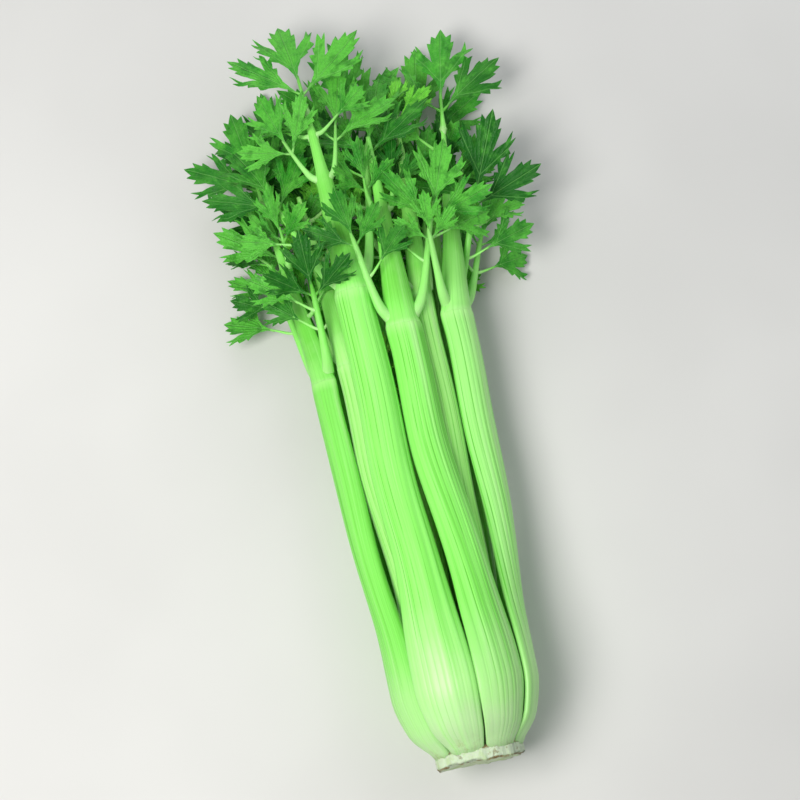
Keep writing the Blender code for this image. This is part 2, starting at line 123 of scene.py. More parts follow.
@dataclass(frozen=True)
class Ring:
    """A whorl of stalks. Its long tuples run over the stations of stations_of()."""

    step: tuple
    spread: tuple  # from the axis to the middle of the stalk's wall, where the stalks stand in a ring
    bend: tuple  # radius of the arc that the wall follows in cross-section
    breadth: tuple  # width across the back, for a stalk 1 wide
    wall: tuple  # thickness of the wall at its middle
    lap: float  # how far one edge slides over the next stalk's
    ribs: int
    rings: int
    rachis: float  # length of the leaf's own stem above the joint
    blade: float
    stem: float  # thickness of the branches at the joint


RINGS = {
    "outer": Ring(
        step=OUTER_STEP,
        spread=(0.0248, 0.0376) + (BELLY_RADIUS,) * 6,
        bend=(0.0248, 0.0376, BELLY_RADIUS, 0.0215, 0.0150, 0.0118, 0.0068, 0.0030),
        breadth=(0.72, 1.18, 1.44, 1.01, 0.90, 0.76, 0.36, 0.15),
        wall=(0.0084, 0.0080, 0.0076, 0.0090, 0.0098, 0.0098, 0.0056, 0.0032),
        lap=0.0023, ribs=5, rings=11, rachis=0.138, blade=0.070, stem=0.0064,
    ),
    "inner": Ring(
        step=INNER_STEP,
        spread=(0.0158, 0.0240) + (0.0312,) * 6,
        bend=(0.0158, 0.0240, 0.0312, 0.0155, 0.0115, 0.0094, 0.0056, 0.0028),
        breadth=(0.76, 1.12, 1.38, 1.06, 0.95, 0.82, 0.48, 0.20),
        wall=(0.0074, 0.0068, 0.0062, 0.0070, 0.0076, 0.0078, 0.0050, 0.0030),
        lap=0.0016, ribs=4, rings=10, rachis=0.126, blade=0.060, stem=0.0054,
    ),
    "heart": Ring(
        step=HEART_STEP,
        spread=(0.0062, 0.0098, 0.0128, 0.0110, 0.0100, 0.0100, 0.0100, 0.0100),
        bend=(0.0062, 0.0098, 0.0128, 0.0090, 0.0078, 0.0066, 0.0046, 0.0026),
        breadth=(0.66, 1.00, 1.20, 1.05, 1.00, 0.80, 0.50, 0.26),
        wall=(0.0052, 0.0050, 0.0046, 0.0046, 0.0048, 0.0050, 0.0040, 0.0028),
        lap=0.0, ribs=3, rings=8, rachis=0.058, blade=0.036, stem=0.0036,
    ),
}


@dataclass(frozen=True)
class Stalk:
    """One stalk: where its foot sits round the crown, and where its first joint lies."""

    number: int
    ring: str
    foot_angle: float  # degrees round the axis, from +X towards +Z
    across: float  # the joint's distance across from the axis
    height: float  # the joint's height over the table
    facing: float  # the way that the ribbed back faces at the joint, in degrees
    joint: float  # station of the first joint
    width: float  # across the back, two thirds of the way up


STALKS = (
    Stalk(1, "outer", 160, -0.053, 0.041, 150, 0.270, 0.027),
    Stalk(2, "outer", 108, -0.0205, 0.072, 100, 0.322, 0.028),
    Stalk(3, "outer", 57, 0.009, 0.071, 80, 0.292, 0.027),
    Stalk(4, "outer", 6, 0.051, 0.046, 42, 0.300, 0.030),
    Stalk(5, "outer", -45, 0.038, 0.0050, -66, 0.294, 0.027),
    Stalk(6, "outer", -96, 0.001, 0.0078, -90, 0.312, 0.029),
    Stalk(7, "outer", -147, -0.037, 0.0050, -114, 0.286, 0.028),
    Stalk(8, "inner", 134, -0.034, 0.050, 128, 0.277, 0.021),
    Stalk(9, "inner", 40, 0.027, 0.054, 58, 0.314, 0.020),
    Stalk(10, "inner", -22, 0.040, 0.026, 0, 0.284, 0.019),
    Stalk(11, "inner", -85, 0.013, 0.026, -75, 0.268, 0.020),
    Stalk(12, "inner", -150, -0.021, 0.027, -110, 0.262, 0.021),
    Stalk(13, "heart", 110, -0.007, 0.054, 110, 0.206, 0.014),
    Stalk(14, "heart", -15, 0.009, 0.046, 10, 0.190, 0.013),
    Stalk(15, "heart", 230, -0.006, 0.040, 230, 0.178, 0.013),
)

AXIS_HEIGHT = BELLY_RADIUS + RINGS["outer"].wall[2] / 2 + RIB_SHARE * STALKS[5].width - TRIM


def smooth(places, values, at):
    """A smooth curve through (place, value) pairs that doesn't swing past them, read at one place."""
    if at <= places[0]:
        return values[0]
    if at >= places[-1]:
        return values[-1]
    i = max(k for k in range(len(places) - 1) if places[k] <= at)
    steps = [(values[k + 1] - values[k]) / (places[k + 1] - places[k]) for k in range(len(places) - 1)]

    def slope(k):
        if k == 0 or k == len(steps):
            return steps[min(k, len(steps) - 1)]
        before, after = steps[k - 1], steps[k]
        return 0.0 if before * after <= 0 else 2 * before * after / (before + after)

    run = places[i + 1] - places[i]
    t = (at - places[i]) / run
    rest = 1 - t
    ends = values[i] * (1 + 2 * t) * rest * rest + values[i + 1] * t * t * (3 - 2 * t)
    return ends + run * (slope(i) * t * rest * rest - slope(i + 1) * t * t * rest)


def ease(t):
    """From 0 to 1, flat at both ends."""
    t = min(1.0, max(0.0, t))
    return t * t * (3 - 2 * t)


def foot_of(stalk):
    return RINGS[stalk.ring].step[1] + GAP


def stations_of(stalk):
    """The foot, the end of its flare, the belly, two places on the way up, the two joints and the tip."""
    foot, run, reach = foot_of(stalk), stalk.joint - BELLY, RINGS[stalk.ring].rachis
    below = (foot, foot + RISE, BELLY, BELLY + 0.33 * run, BELLY + 0.64 * run)
    return below + (stalk.joint, stalk.joint + SECOND_JOINT * reach, stalk.joint + reach)


def across_up(angle):
    """The unit direction at an angle in degrees, in the plane of a cross-section."""
    return np.array([math.cos(math.radians(angle)), math.sin(math.radians(angle))])


def back_middle(stalk, station):
    """Where the middle of a stalk's wall is at a station, as (across, height), and the way that it faces."""
    spread = smooth(stations_of(stalk), RINGS[stalk.ring].spread, station)
    in_ring = np.array([0.0, AXIS_HEIGHT]) + spread * across_up(stalk.foot_angle)
    beyond = max(0.0, station - stalk.joint)
    fan = FAN_OUT * stalk.across * beyond
    sag = SAG * max(0.0, stalk.height - SAG_FROM) * beyond
    lying = np.array([stalk.across + fan, stalk.height - sag])
    early = ease((station - BELLY) / (SETTLED - BELLY))
    late = min(1.0, max(0.0, station - BELLY) / (stalk.joint - BELLY))
    settled = SETTLED_SHARE * early + (1 - SETTLED_SHARE) * late
    turn = (stalk.facing - stalk.foot_angle + 180) % 360 - 180
    return in_ring + (lying - in_ring) * settled, stalk.foot_angle + turn * settled


def wall_point(stalk, station, place, side, rib=0.0, swell=1.0, shift=0.0):
    """A point of the wall, or an array of them.

    place runs from -1 to 1 across it, side is 1 on the back and -1 in the hollow, rib is the height of a
    rib, swell makes the section thicker, and shift moves it.
    """
    ring, places = RINGS[stalk.ring], stations_of(stalk)
    middle, facing = back_middle(stalk, station)
    middle = middle + shift
    width = stalk.width * smooth(places, ring.breadth, station) * swell
    bend = smooth(places, ring.bend, station) * swell
    wall = smooth(places, ring.wall, station) * swell
    turn = place * math.asin(min(0.97, width / 2 / bend))
    lap = ring.lap * ease((station - places[0]) / 0.02) * (1 - ease((station - BELLY) / LAP_END))
    depth = side * wall / 2 * (1 - EDGE_THINNING * place * place) + lap * place + rib * width
    arm, out, along = bend + depth, across_up(facing), across_up(facing + 90)
    x, z = (middle[i] + along[i] * arm * np.sin(turn) + out[i] * (arm * np.cos(turn) - bend) for i in (0, 1))
    return np.stack([x, station + 0 * x, z], -1)


def section(stalk, station):
    """The closed outline of a stalk at a station: along its ribbed back, then along its hollow front."""
    ribs = RINGS[stalk.ring].ribs
    back = [wall_point(stalk, station, -1 + i / ribs, 1, RIB_SHARE * (i % 2)) for i in range(2 * ribs + 1)]
    return back + [wall_point(stalk, station, place, -1) for place in INNER_WALL_PLACES]


def stalk_rings(stalk):
    """Cross-sections from the foot to the joint, closer together near the foot."""
    foot, count = foot_of(stalk), RINGS[stalk.ring].rings
    run = stalk.joint - foot
    return [section(stalk, foot + run * (i / (count - 1)) ** 1.35) for i in range(count)]


def rachis_rings(stalk):
    """Cross-sections of the leaf's own stem, from the joint to its tip."""
    reach, last = RINGS[stalk.ring].rachis, RACHIS_RINGS - 1
    stations = [stalk.joint + GAP + (reach - GAP) * i / last for i in range(RACHIS_RINGS)]
    return [section(stalk, station)[::RACHIS_SKIP] for station in stations]


def grid_faces(rows, columns):
    """Quads between closed rings of points."""
    faces = []
    for low in range(0, (rows - 1) * columns, columns):
        for c in range(columns):
            d, high = (c + 1) % columns, low + columns
            faces.append((low + d, low + c, high + c, high + d))
    return faces


def loft(rings):
    """A solid through rings of equally many points, with flat ends."""
    count = len(rings[0])
    points = [p for ring in rings for p in ring]
    faces = [tuple(range(count)), tuple(reversed(range(len(points) - count, len(points))))]
    return points, faces + grid_faces(len(rings), count)


def unit(v):
    return v / np.linalg.norm(v)


def tube(path, radii, sides):
    """A round stem along a path of points, with a radius at each."""
    path = [np.asarray(p, float) for p in path]
    tangents = [unit(path[min(i + 1, len(path) - 1)] - path[max(i - 1, 0)]) for i in range(len(path))]
    side = unit(np.cross(tangents[0], (0.0, 0.0, 1.0)))
    rings = []
    for centre, tangent, radius in zip(path, tangents, radii):
        side = unit(side - tangent * (side @ tangent))
        up = np.cross(side, tangent)
        angles = [2 * math.pi * k / sides for k in range(sides)]
        rings.append([centre + radius * (side * math.cos(a) + up * math.sin(a)) for a in angles])
    return rings


# A blade 1 long: the turn of each lobe from the midrib in degrees, its reach, and the teeth beside its tip.
SIDE_TEETH = ((6, 0.84), (12, 0.91), (21, 0.66))
MIDDLE_TEETH = ((5, 0.84), (10, 0.92), (18, 0.70))
LOBE_TURN = 48
LOBES = ((-LOBE_TURN, 0.87, SIDE_TEETH), (0, 1.00, MIDDLE_TEETH), (LOBE_TURN, 0.87, SIDE_TEETH))
SINUS = (24, 0.44)
INNER_RING = ((-60, 0.28), (-48, 0.52), (-24, 0.25), (0, 0.58), (24, 0.25), (48, 0.52), (60, 0.28))


def blade_outline():
    """The toothed edge of a three-lobed blade 1 long, as (turn from the midrib in degrees, reach) pairs."""
    edge = []
    for middle, reach, teeth in LOBES:
        edge += [(middle - turn, reach * share) for turn, share in reversed(teeth)]
        edge.append((middle, reach))
        edge += [(middle + turn, reach * share) for turn, share in teeth]
        edge.append((middle + SINUS[0], SINUS[1]))
    return edge[:-1]


OUTLINE = blade_outline()


@dataclass(frozen=True)
class Blade:
    """Where a blade hangs: its root, the way its midrib runs, its face's normal, its length and its bends."""

    root: np.ndarray
    ahead: np.ndarray
    face: np.ndarray
    length: float
    droop: float
    cup: float
    twist: float
    fold: float

    def at(self, turn, reach):
        """The middle surface's point at a turn from the midrib, in degrees, and a reach of 1 at its tip."""
        u = reach * math.sin(math.radians(turn))
        v = reach * math.cos(math.radians(turn))
        from_rib = min(abs(turn), abs(abs(turn) - LOBE_TURN))
        fold = self.fold * reach * math.sin(math.radians(from_rib))
        lift = -self.droop * v * v + self.cup * u * u + self.twist * u * v + fold
        side = np.cross(self.ahead, self.face)
        return self.root + self.length * (self.ahead * v + side * u + self.face * lift)

    def samples(self):
        inside = [(turn, 0.72 * reach) for turn, reach in OUTLINE[::2]]
        return [self.at(*place) for place in (*OUTLINE, *INNER_RING, *inside)]


def blade_solid(blade, thickness=BLADE_THICKNESS):
    """The blade as a closed solid: a fan to an inner ring, a strip to the toothed edge, and both below."""
    middle = [blade.at(*place) for place in ((0, 0), *INNER_RING, *OUTLINE)]
    first_edge = 1 + len(INNER_RING)
    top = [(0, i + 1, i + 2) for i in range(len(INNER_RING) - 1)]
    inner, outer = 1, first_edge
    inner_turns = [(turn, 1) for turn, _ in INNER_RING[1:]]
    for _, on_inner in sorted([(turn, 0) for turn, _ in OUTLINE[1:]] + inner_turns):
        top.append((inner, outer, inner + 1 if on_inner else outer + 1))
        inner, outer = inner + on_inner, outer + 1 - on_inner
    rim = [0, 1, *range(first_edge, len(middle)), len(INNER_RING)]
    half = blade.face * thickness / 2
    points = [p + half for p in middle] + [p - half for p in middle]
    below = len(middle)
    faces = [(a, c, b) for a, b, c in top] + [(below + a, below + b, below + c) for a, b, c in top]
    for a, b in zip(rim, rim[1:] + rim[:1]):
        faces.append((a, b, below + b, below + a))
    return points, faces


def bounds(points):
    points = np.asarray(points)
    return points.min(0), points.max(0)


class Room:
    """What has been placed so far, and how clear of it a new piece would be."""

    def __init__(self):
        self.marks = []
        self.solids = []

    def add(self, owner, solids):
        """Keeps closed solids, given as points and faces, that belong to one leaf."""
        for points, faces in solids:
            self.marks += [(point, owner) for point in points]
            tree = BVHTree.FromPolygons([tuple(p) for p in points], faces)
            self.solids.append((owner, *bounds(points), tree))

    def marks_near(self, start, owner, search):
        """The points that a branch from start has to keep clear of, as a search tree."""
        points = np.array([point for point, _ in self.marks])
        own = np.array([mark[1] == owner for mark in self.marks])
        away = np.linalg.norm(points - start, axis=1)
        near = points[(away < search.reach) & (~own | (away > search.own_from))]
        tree = KDTree(len(near))
        for i, point in enumerate(near):
            tree.insert(point, i)
        tree.balance()
        return tree

    def crossed(self, owner, solids):
        """Whether one of these solids crosses a piece of another leaf."""
        for points, faces in solids:
            low, high = bounds(points)
            if low[2] < 0.0:
                return True
            others = [rest for who, *rest in self.solids if who != owner]
            near = [tree for lo, hi, tree in others if (lo < high).all() and (hi > low).all()]
            if near:
                tree = BVHTree.FromPolygons([tuple(p) for p in points], faces)
                if any(tree.overlap(other) for other in near):
                    return True
        return False


@dataclass(frozen=True)
class Branch:
    """A stem that leaves the leaf's own stem, and the blade that it carries."""

    path: list
    radii: list
    blade: Blade


def turned(v, axis, angle):
    """v turned about a unit axis by an angle in degrees."""
    a = math.radians(angle)
    return v * math.cos(a) + np.cross(axis, v) * math.sin(a) + axis * (axis @ v) * (1 - math.cos(a))


def make_branch(start, ahead, side, thick, length, blade_length, draw):
    """A branch that leaves start towards side, swings round to run ahead, and ends in a blade."""
    opening, roll, pitch, lift = draw["opening"], draw["roll"], draw["pitch"], draw["lift"]
    run = unit(ahead + side * math.tan(math.radians(opening)) + np.array([0, 0, lift]))
    path = [start]
    for share in (0.16, 0.50, 1.0):
        swing = 1 - math.exp(-9 * share)
        path.append(start + run * length * share + side * swing * 0.9 * thick)
    out = unit(path[-1] - path[-2])
    up = unit(np.array([0, 0, 1.0]) - out * out[2])
    face = turned(up, out, roll)
    dipped = turned(out, unit(np.cross(out, face)), pitch)
    face = turned(face, unit(np.cross(out, face)), pitch)
    bends = [draw[name] for name in ("droop", "cup", "twist", "fold")]
    blade = Blade(path[-1], dipped, face, blade_length, *bends)
    tip = blade.at(0, 0.24) - blade.face * 0.0002
    return Branch(path + [tip], [thick * share for share in BRANCH_TAPER] + [BRANCH_END], blade)


def draws(rng, tries, height):
    """Ways to hold a branch and its blade, nearest to the natural way first, and flat where it is low."""
    free = min(1.0, max(0.06, (height - 0.006) / 0.034))
    for k in range(tries):
        wild = 0.35 + 0.65 * k / tries
        yield {
            "opening": rng.uniform(6, 15) + 20 * wild * rng.random(),
            "roll": wild * free * rng.uniform(-55, 55),
            "pitch": wild * rng.uniform(-34 * free, 30),
            "lift": wild * rng.uniform(-0.34 * free, 0.30),
            "tilt": wild * rng.uniform(-50, 50) * max(free, 0.4),
            "droop": rng.uniform(0.02, 0.22) * free,
            "cup": rng.uniform(-0.22 * free, 0.30),
            "twist": rng.uniform(-0.15, 0.15) * free,
            "fold": rng.uniform(-0.30, 0.40) * free,
        }


def branch_solids(branch, clear=0.0):
    """The branch's stem and blade as closed solids, thicker all round by a clearance where one is given."""
    radii = [radius + clear for radius in branch.radii]
    stem = loft(tube(branch.path, radii, BRANCH_SIDES))
    return [stem, blade_solid(branch.blade, BLADE_THICKNESS + 2 * clear)]


def best_branch(room, owner, rng, spot, search):
    """The first natural way to hold a branch that is clear of everything.

    Failing that, a large branch takes the clearest way that crosses nothing, and a small one is left out.
    """
    start, ahead, side, thick, length, blade_length = spot
    marks = room.marks_near(start, owner, search)
    ways = []
    for k, draw in enumerate(draws(rng, search.tries, start[2])):
        size = (rng.uniform(0.85, 1.1) if search.small else 1) * (1 - search.shrink * k / search.tries)
        leaning = side if search.small else turned(side, ahead, draw["tilt"])
        branch = make_branch(start, ahead, leaning, thick, length * size, blade_length * size, draw)
        held = branch.blade.samples() + branch.path[2:]
        if min(p[2] for p in held) < FLOOR_CLEAR:
            continue
        clear = min(marks.find(p)[2] for p in held)
        ways.append((clear, branch))
        if clear > search.clear and not room.crossed(owner, branch_solids(branch, HELD_CLEAR)):
            break
    else:
        ways.sort(key=lambda way: way[0])
        while ways and (search.small or room.crossed(owner, branch_solids(ways[-1][1], HELD_CLEAR))):
            ways.pop()
    if not ways:
        return None
    branch = ways[-1][1]
    room.add(owner, branch_solids(branch))
    return branch


def spots_of(stalk, rng):
    """Where a leaf's branches start: the end of its stem, the first joint and the second, on both sides."""
    ring = RINGS[stalk.ring]
    tip = stalk.joint + ring.rachis
    centre = wall_point(stalk, tip - 0.004, 0, 0)
    ahead = unit(centre - wall_point(stalk, stalk.joint, 0, 0))
    right = unit(np.cross(ahead, (0.0, 0.0, 1.0)))
    thick = 1.3 * ring.wall[-1]
    spots = [(centre, ahead, right * 0.05, thick, 0.10 * ring.rachis, ring.blade)]
    joints = [
        (BRANCH_ROOT, ring.stem, 0.60 * ring.rachis, 0.96 * ring.blade),
        (SECOND_JOINT * ring.rachis, 0.68 * ring.stem, 0.20 * ring.rachis, 0.86 * ring.blade),
    ]
    for beyond, thick, length, blade_length in joints[stalk.ring == "heart":]:
        for place in (-BRANCH_PLACE, BRANCH_PLACE):
            start = wall_point(stalk, stalk.joint + beyond, place, 0)
            side = unit(start - wall_point(stalk, stalk.joint + beyond, 0, 0))
            grown = length * rng.uniform(0.85, 1.12)
            spots.append((start, ahead, side, thick, grown, blade_length * rng.uniform(0.92, 1.05)))
    return spots


def small_spots(stalk, branches):
    """Where small leaflets start: in pairs along each long branch, and along the leaf's own stem."""
    ring, spots = RINGS[stalk.ring], []
    for branch in branches:
        bend, end = branch.path[2:4]
        if np.linalg.norm(end - branch.path[0]) < LONG_BRANCH * ring.rachis:
            continue
        ahead = unit(end - bend)
        right = unit(np.cross(ahead, branch.blade.face))
        for share, size in BRANCH_PAIRS:
            start = bend + (end - bend) * (share - 0.5) / 0.5
            for side in (-right, right):
                spots.append((start, unit(ahead + 0.9 * side), side, 0.0024, 0.013,
                              size * SMALL_SHARE * ring.blade))
    for share in STEM_PAIRS:
        station = stalk.joint + share * ring.rachis
        centre = wall_point(stalk, station, 0, 0)
        ahead = unit(wall_point(stalk, station + 0.01, 0, 0) - centre)
        for place in (-SMALL_PLACE, SMALL_PLACE):
            start = wall_point(stalk, station, place, 0)
            side = unit(start - centre)
            spots.append((start, unit(ahead + 0.7 * side), side, 0.003, 0.020, SMALL_SHARE * ring.blade))
    return spots


def lay_out_leaves():
    """Each leaf's large branches, and then the small ones in what room is left, by stalk number.

    The large ones come whorl by whorl: those against the table first, then from the top down.
    """
    room = Room()
    for stalk in STALKS:
        room.add(stalk.number, [loft(stalk_rings(stalk)), loft(rachis_rings(stalk))])

    def grown(stalk, rng, spots, search):
        found = [best_branch(room, stalk.number, rng, spot, search) for spot in spots]
        return [branch for branch in found if branch]

    large, small = {}, {}
    whorls = list(RINGS)
    for stalk in sorted(STALKS, key=lambda s: (whorls.index(s.ring), s.height > LOWEST_LAYER, -s.height)):
        rng = random.Random(stalk.number)
        large[stalk.number] = grown(stalk, rng, spots_of(stalk, rng), LARGE)
    for stalk in STALKS:
        spots = [] if stalk.ring == "heart" else small_spots(stalk, large[stalk.number])
        small[stalk.number] = grown(stalk, random.Random(200 + stalk.number), spots, SMALL)
    return large, small


crown_low, crown_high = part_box("crown")
HEAD_PLACE = np.array([(crown_low[0] + crown_high[0]) / 2, crown_low[1], 0.0])

# The fine surfaces: how deep their ribs are, how they swell at the joints, and how closely they are meshed.
FINE_RIBS = {"outer": 9, "inner": 7, "heart": 5}
RIB_RELIEF = 0.013
HOLLOW_RELIEF = 0.005
POINTS_A_RIB = 8
EDGE_START = 0.95
SWAY = 0.0006
SWAY_LENGTH = 0.12
JOINT_SWELL = 0.06
JOINT_LINE = 0.004
KNOT_SWELL = 0.10
KNOT_STEP = 0.14
STALK_STEP = 0.0045
RACHIS_STEP = 0.004
NEAR_JOINT = (0.0045, 0.003, 0.002, 0.0013, 0.0008, 0.0004)
FOOT_SINK = 0.0012
TUBE_SIDES = 12
TUBE_STEPS = 7
ROOT_REACH = 0.005
ROOT_RUN = 0.0050
SHEET_THICKNESS = 0.0006
LOWEST_POINT = 0.0004


# Surfaces

@dataclass(frozen=True)
class Surface:
    """Points and faces in head space, with what the finish reads at each point."""

    points: np.ndarray
    faces: list
    marks: dict


def joined(parts):
    """One surface made of several that carry the same marks."""
    faces, start = [], 0
    for part in parts:
        faces += [tuple(start + i for i in face) for face in part.faces]
        start += len(part.points)
    marks = {name: np.concatenate([part.marks[name] for part in parts]) for name in parts[0].marks}
    return Surface(np.concatenate([part.points for part in parts]), faces, marks)


def skin(rings, ends, marks):
    """Rings of points closed by a fan at each end. A mark has its values over the rings and at the ends."""
    rows, count = rings.shape[:2]
    faces, top = grid_faces(rows, count), (rows - 1) * count
    for c in range(count):
        d = (c + 1) % count
        faces += [(rows * count, c, d), (rows * count + 1, top + d, top + c)]
    spread = {}
    for name, (over, at_ends) in marks.items():
        spread[name] = np.append(np.broadcast_to(over, (rows, count)), at_ends)
    return Surface(np.concatenate([rings.reshape(-1, 3), ends]), faces, spread)


@dataclass(frozen=True)
class Form:
    """Round a stalk's section: its place across the wall, its side, its rib height and its dark lines."""

    place: np.ndarray
    side: np.ndarray
    rib: np.ndarray
    line: np.ndarray


def stalk_form(ribs, rng):
    """Broad ribs of uneven breadth and height, with narrow grooves between them, some darker than others."""
    cuts = np.cumsum([0.0] + [rng.uniform(0.65, 1.35) for _ in range(ribs)])
    cuts = cuts / cuts[-1] * 2 * EDGE_START - EDGE_START
    heights = np.array([rng.uniform(0.6, 1.1) for _ in range(ribs)])
    within = np.arange(POINTS_A_RIB) / POINTS_A_RIB
    back = np.append(cuts[:-1, None] + np.diff(cuts)[:, None] * within, EDGE_START)
    ridge = np.append(heights[:, None] * (1 - np.abs(2 * within - 1) ** 3), 0.0)
    line = np.zeros(len(back))
    line[::POINTS_A_RIB] = [rng.uniform(0.1, 1.0) ** 1.5 for _ in range(ribs + 1)]
    turn = np.linspace(0, math.pi, 9)[1:-1]
    edge, edge_side = EDGE_START + (1 - EDGE_START) * np.sin(turn), np.cos(turn)
    front = np.linspace(EDGE_START, -EDGE_START, 25)
    front_ridge = -HOLLOW_RELIEF / RIB_RELIEF * np.abs(np.sin(4 * math.pi * front))
    flat = np.zeros(len(edge))
    return Form(
        place=np.concatenate([back, edge, front, -edge[::-1]]),
        side=np.concatenate([np.ones(len(back)), edge_side, -np.ones(len(front)), edge_side[::-1]]),
        rib=np.concatenate([ridge, flat, front_ridge, flat]),
        line=np.concatenate([line, flat, np.zeros(len(front)), flat]),
    )


def sway(stalk, station, phase):
    """A slow, small wander of a stalk that no real one is without, as (across, height)."""
    fade = ease((station - BELLY) / 0.05) * ease((stalk.joint + 0.05 - station) / 0.06)
    turn = 2 * math.pi * station / SWAY_LENGTH + phase
    return np.array([math.sin(turn), 0.5 * math.sin(1.7 * turn)]) * SWAY * fade


def swelling(stalk, station):
    """How much thicker a stalk is near its first joint, and its leaf's own stem near the joints beyond."""
    beyond, reach = station - stalk.joint, RINGS[stalk.ring].rachis
    shoulder = JOINT_SWELL * math.exp(-(((beyond + 0.003) / 0.010) ** 2))
    swell = 1 + shoulder - 0.055 * ease((beyond + 0.001) / 0.006)
    for share in (SECOND_JOINT, THIRD_JOINT):
        past = beyond - share * reach
        swell += KNOT_SWELL * math.exp(-((past / 0.005) ** 2)) - KNOT_STEP * ease(past / 0.006)
    return swell


def fine_ring(stalk, station, form, phase):
    """The points round a stalk at a station, with its ribs and an uneven collar at the joint."""
    beyond, place = station - stalk.joint, form.place
    relief = RIB_RELIEF * (1 - 0.7 * ease((beyond + 0.002) / 0.004))
    relief *= 0.7 + 0.3 * ease((station - BELLY) / 0.1)
    uneven = beyond + 0.0007 * np.sin(5 * place + 9 * phase) + 0.0004 * np.sin(13 * place + phase)
    collar = JOINT_LINE * np.exp(-(((uneven + 0.0002) / 0.0011) ** 2))
    rib = relief * form.rib + collar * (0.6 + 0.4 * np.sin(8 * place + phase))
    swell, shift = swelling(stalk, station), sway(stalk, station, phase)
    points = wall_point(stalk, station, place, form.side, rib, swell, shift)
    points[:, 2] = np.maximum(points[:, 2], 0.0)
    return points


def fine_stem(stalk, stations, form, phase, tone):
    """The skin of a stalk, or of a leaf's own stem, through a list of stations."""
    rings = np.array([fine_ring(stalk, station, form, phase) for station in stations])
    return skin(rings, rings[[0, -1]].mean(1), {
        "across": (form.place, (0, 0)),
        "along": (np.array(stations)[:, None] / stalk.joint, (0, 1)),
        "hollow": ((1 - form.side) / 2, (0.5, 0.5)),
        "line": (form.line, (0, 0)),
        "branch": (0, (0, 0)),
        "tone": (tone, (tone, tone)),
    })


def spline(path, radii, steps):
    """A smooth curve through a path's points, with the radius along it."""
    path = [np.asarray(p, float) for p in path]
    ends = [2 * path[0] - path[1]] + path + [2 * path[-1] - path[-2]]
    found, widths = [], []
    for i in range(1, len(ends) - 2):
        a, b, c, d = ends[i - 1 : i + 3]
        for k in range(steps + (i == len(ends) - 3)):
            t = k / steps
            found.append(0.5 * (2 * b + (c - a) * t + (2 * a - 5 * b + 4 * c - d) * t * t
                                + (3 * b - a - 3 * c + d) * t ** 3))
            widths.append(radii[i - 1] + (radii[i] - radii[i - 1]) * t)
    return found, widths


def fine_tube(path, radii, steps, share, tone):
    """A round stem with a shallow groove along its upper side; share is where it runs along a leaf."""
    path, radii = spline(path, radii, steps)
    centres = np.array(path)[:, None]
    turn = 2 * math.pi * np.arange(TUBE_SIDES) / TUBE_SIDES
    groove = 1 - 0.16 * np.maximum(0, np.sin(turn)) ** 6 + 0.05 * np.cos(4 * turn)
    rings = centres + (np.array(tube(path, radii, TUBE_SIDES)) - centres) * groove[:, None]
    surface = skin(rings[:, ::-1], centres[[0, -1], 0], {
        "across": (np.cos(turn)[::-1], (0, 0)),
        "along": (np.linspace(*share, len(path))[:, None], share),
        "hollow": (0, (0, 0)),
        "line": (0, (0, 0)),
        "branch": (1, (1, 1)),
        "tone": (tone, (tone, tone)),
    })
    surface.points[:, 2] = np.maximum(surface.points[:, 2], LOWEST_POINT)
    return surface


def fine_branch(stalk, branch, tone):
    """A branch's stem. Where it leaves the leaf's own stem, its root starts lower down, inside the wall."""
    path, radii = list(branch.path), list(branch.radii)
    start = path[0]

    def away(place):
        return float(np.linalg.norm(start - wall_point(stalk, start[1], place, 0)))

    near = min(np.linspace(-0.9, 0.9, 19), key=away)
    if away(near) < ROOT_REACH:
        root = wall_point(stalk, start[1] - ROOT_RUN, 0.85 * near, 0)
        path, radii = [root] + path, [radii[0] * 0.45, radii[0] * 1.30, radii[1] * 1.14] + radii[2:]
    return fine_tube(path, radii, TUBE_STEPS, (1.02, 1.5), tone)


# One side of a leaflet 1 long, from its wedge-shaped root to its tip, as (beside the midrib, ahead) pairs.
LEAFLET_SIDE = (
    (0.030, 0.11), (0.080, 0.22), (0.175, 0.33), (0.330, 0.395), (0.295, 0.445), (0.450, 0.525),
    (0.385, 0.565), (0.510, 0.715), (0.400, 0.670), (0.420, 0.790), (0.315, 0.650), (0.150, 0.500),
    (0.170, 0.640), (0.225, 0.790), (0.160, 0.775), (0.165, 0.915), (0.085, 0.865),
)
LEAFLET_KINDS = 6
EDGE_STEPS = 3
EDGE_BULGE = 0.10
MESH_STEP = 0.075
EDGE_MARGIN = 0.028

# The leaflets of a blade: turn in degrees, root's reach, length and breadth, for a blade 1 long.
THREE_LEAFLETS = ((0, 0.17, 0.86, 0.76), (-51, 0.07, 0.80, 0.72), (51, 0.07, 0.80, 0.72))
ONE_LEAFLET = ((0, 0.03, 0.97, 1.0),)


def inside_by(points, outline, margin):
    """Which points lie inside a closed outline, and at least a margin away from it."""
    run, rise = (np.roll(outline, -1, 0) - outline).T
    x, y = (points[:, None] - outline).transpose(2, 0, 1)
    spans = (y < 0) != (y < rise)
    crossings = (spans & (x < run * y / np.where(rise == 0, 1e-9, rise))).sum(1)
    t = np.clip((x * run + y * rise) / (run ** 2 + rise ** 2), 0, 1)
    away = np.hypot(x - t * run, y - t * rise).min(1)
    return (crossings % 2 == 1) & (away > margin)


